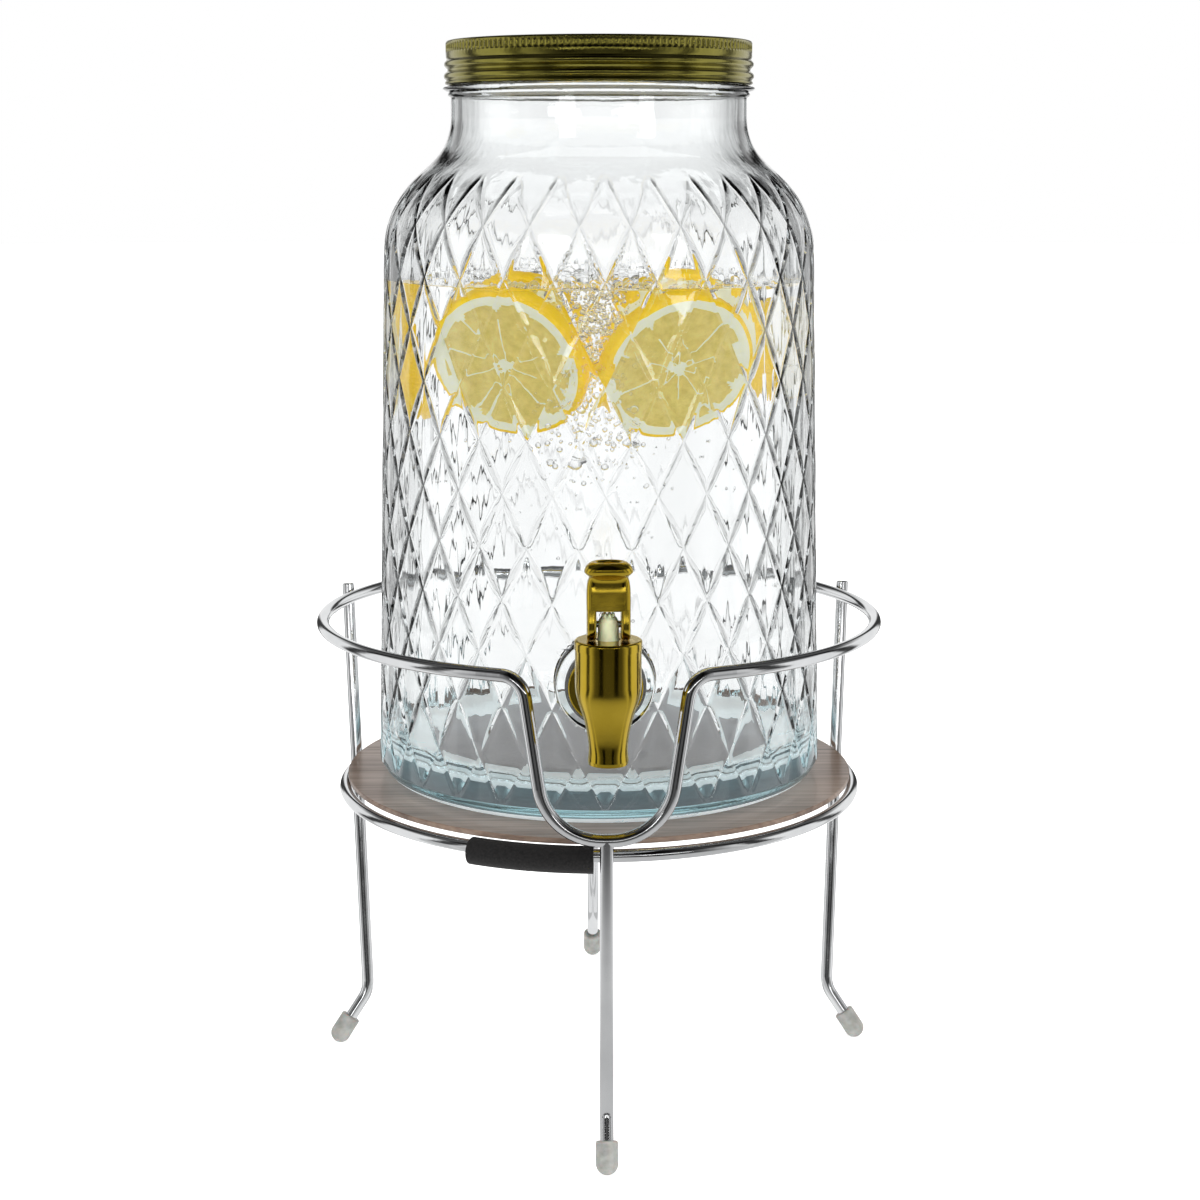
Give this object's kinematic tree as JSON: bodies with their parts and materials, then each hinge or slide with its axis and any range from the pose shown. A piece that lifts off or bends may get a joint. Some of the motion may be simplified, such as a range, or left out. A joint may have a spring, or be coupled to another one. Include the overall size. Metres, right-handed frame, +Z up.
{
  "type": "drink dispenser",
  "caption": "Glass drink jar with a diamond pattern, screw lid and lever tap, on a round board in a chromed wire stand.",
  "frame": {"origin": "on the floor under the jar's axis, at the centre of the circle of feet", "axes": "+Z up, -Y towards the tap, +X to the right seen from the tap"},
  "size_m": [0.2352, 0.2656, 0.4286],
  "materials": {
    "chrome_wire": "bright chromed steel wire",
    "clear_rubber": "milky translucent soft caps",
    "black_foam": "matte black foam sleeve",
    "walnut_board": "semi-gloss grey-brown walnut grain with a dark edge",
    "jar_glass": "clear pressed glass, diamond pattern, faint cool tint",
    "gold_plastic": "metallised dark gold, glossy",
    "seal_silicone": "clear silicone seal",
    "plunger_silicone": "pale cream silicone",
    "pin_steel": "plain pin",
    "liner_plastic": "off-white sealing disc",
    "gold_lacquer": "olive-gold lacquered sheet metal, semi-gloss"
  },
  "bodies": {
    "stand": {"lower_ring": "chrome_wire", "upper_ring": "chrome_wire", "leg_front": "chrome_wire", "leg_rear": "chrome_wire", "leg_left": "chrome_wire", "leg_right": "chrome_wire", "foot_cap_front": "clear_rubber", "foot_cap_rear": "clear_rubber", "foot_cap_left": "clear_rubber", "foot_cap_right": "clear_rubber", "bar_cross": "chrome_wire", "bar_front": "chrome_wire", "bar_rear": "chrome_wire", "ring_sleeve": "black_foam"},
    "board": {"base_board": "walnut_board"},
    "jar": {"glass_jar": "jar_glass", "tap_body": "gold_plastic", "tap_bonnet": "gold_plastic", "tap_gasket_outer": "seal_silicone", "tap_gasket_inner": "seal_silicone", "tap_nut": "gold_plastic"},
    "plunger": {"tap_plunger": "plunger_silicone", "lever_pin": "pin_steel"},
    "lever": {"tap_lever": "gold_plastic"},
    "liner": {"lid_liner": "liner_plastic"},
    "lid": {"lid_shell": "gold_lacquer"}
  },
  "joints": [
    {"name": "board_lift", "type": "slide", "parent": "stand", "child": "board", "axis": [0, 0, 1], "range_m": [0, 0.08]},
    {"name": "jar_lift", "type": "slide", "parent": "board", "child": "jar", "axis": [0, 0, 1], "range_m": [0, 0.09]},
    {"name": "plunger_lift", "type": "slide", "parent": "jar", "child": "plunger", "axis": [0, 0, 1], "range_m": [0, 0.003], "stiffness_N_per_m": 300},
    {"name": "lever_tilt", "type": "hinge", "parent": "plunger", "child": "lever", "pos_m": [0, -0.13, 0.2169], "axis": [1, 0, 0], "range_deg": [0, 70]},
    {"name": "lid_lift", "type": "slide", "parent": "jar", "child": "liner", "axis": [0, 0, 1], "range_m": [0, 0.06]},
    {"name": "lid_turn", "type": "hinge", "parent": "liner", "child": "lid", "pos_m": [0, 0, 0.42], "axis": [0, 0, 1], "continuous": true}
  ],
  "couplings": [
    {"joint": "lever_tilt", "follows": "plunger_lift", "rad_per_m": 407.24}
  ]
}
